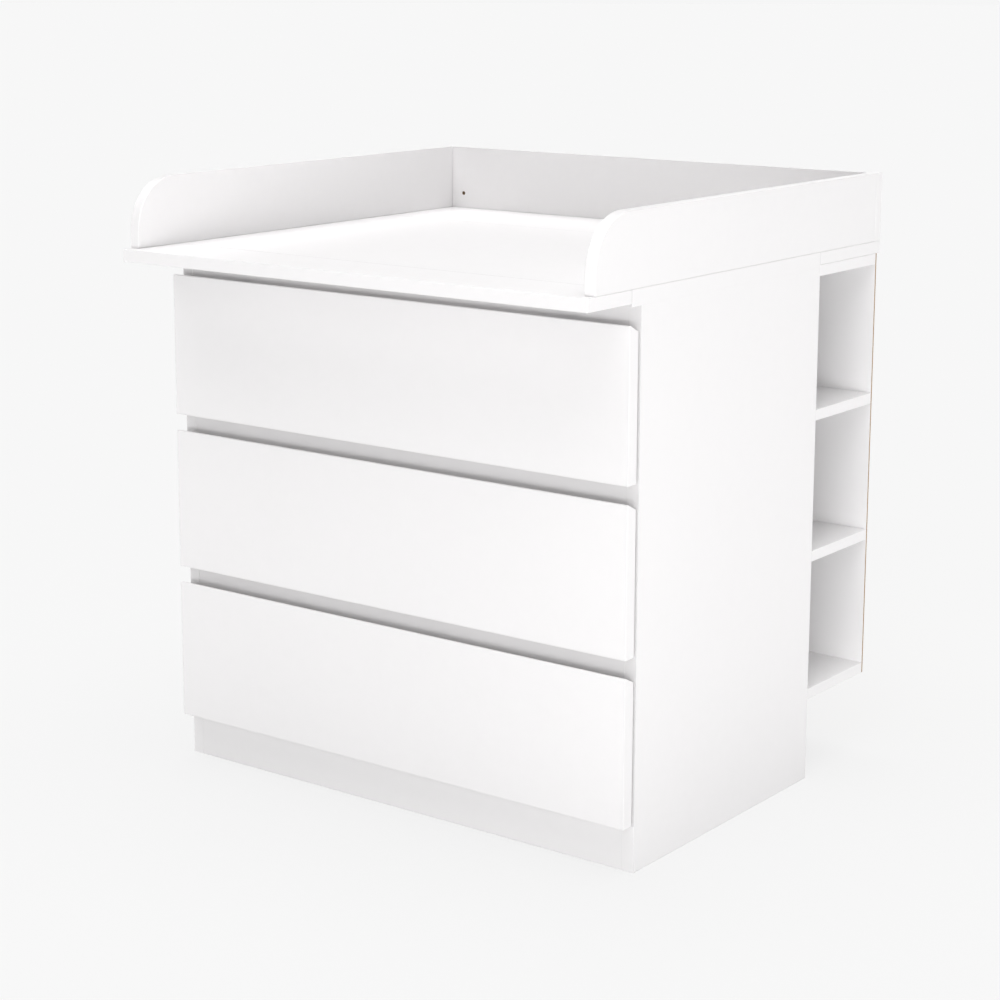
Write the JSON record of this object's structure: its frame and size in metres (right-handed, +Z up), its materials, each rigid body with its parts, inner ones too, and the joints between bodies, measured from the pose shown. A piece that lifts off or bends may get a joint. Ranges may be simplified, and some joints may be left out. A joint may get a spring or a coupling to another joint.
{
  "type": "changing table",
  "caption": "Chest of drawers with a longer tray-shaped changing top, guards on both sides and the back, and an open shelf unit behind the chest.",
  "frame": {"origin": "on the floor, below the middle of the overall outline", "axes": "+X to the user's right along the drawer fronts, +Y to the back towards the wall, +Z up"},
  "size_m": [0.8, 0.756, 0.88],
  "materials": {
    "white_board": "white melamine foil on particleboard, satin",
    "white_hardboard": "thin hardboard, white lacquer, raw brown edge",
    "runner_steel": "white epoxy coating",
    "zinc_steel": "zinc plated"
  },
  "bodies": {
    "frame": {"chest_side_left": "white_board", "chest_side_right": "white_board", "chest_top": "white_board", "plinth": "white_board", "rear_plinth": "white_board", "base_panel": "white_board", "rear_brace": "white_board", "chest_back": "white_hardboard", "rail_lower": "white_board", "rail_upper": "white_board", "rail_top": "white_board", "front_strip": "white_board", "rear_strip": "white_board", "guard_back": "white_board", "guard_left": "white_board", "strip_plate_left": "zinc_steel", "guard_right": "white_board", "strip_plate_right": "zinc_steel", "unit_top": "white_board", "unit_bottom": "white_board", "unit_divider": "white_board", "unit_back": "white_hardboard", "shelf_lower_left": "white_board", "shelf_upper_left": "white_board", "unit_rail_left": "white_board", "shelf_lower_right": "white_board", "shelf_upper_right": "white_board", "unit_rail_right": "white_board", "channel_1_left": "runner_steel", "channel_1_right": "runner_steel", "channel_2_left": "runner_steel", "channel_2_right": "runner_steel", "channel_3_left": "runner_steel", "channel_3_right": "runner_steel"},
    "drawer_1": {"drawer_1_front": "white_board", "drawer_1_back": "white_board", "drawer_1_bottom": "white_hardboard", "drawer_1_side_left": "white_board", "drawer_1_runner_left": "runner_steel", "drawer_1_side_right": "white_board", "drawer_1_runner_right": "runner_steel"},
    "drawer_2": {"drawer_2_front": "white_board", "drawer_2_back": "white_board", "drawer_2_bottom": "white_hardboard", "drawer_2_side_left": "white_board", "drawer_2_runner_left": "runner_steel", "drawer_2_side_right": "white_board", "drawer_2_runner_right": "runner_steel"},
    "drawer_3": {"drawer_3_front": "white_board", "drawer_3_back": "white_board", "drawer_3_bottom": "white_hardboard", "drawer_3_side_left": "white_board", "drawer_3_runner_left": "runner_steel", "drawer_3_side_right": "white_board", "drawer_3_runner_right": "runner_steel"}
  },
  "joints": [
    {"name": "drawer_1_slide", "type": "slide", "parent": "frame", "child": "drawer_1", "axis": [0, -1, 0], "range_m": [0, 0.33]},
    {"name": "drawer_2_slide", "type": "slide", "parent": "frame", "child": "drawer_2", "axis": [0, -1, 0], "range_m": [0, 0.33]},
    {"name": "drawer_3_slide", "type": "slide", "parent": "frame", "child": "drawer_3", "axis": [0, -1, 0], "range_m": [0, 0.33]}
  ]
}
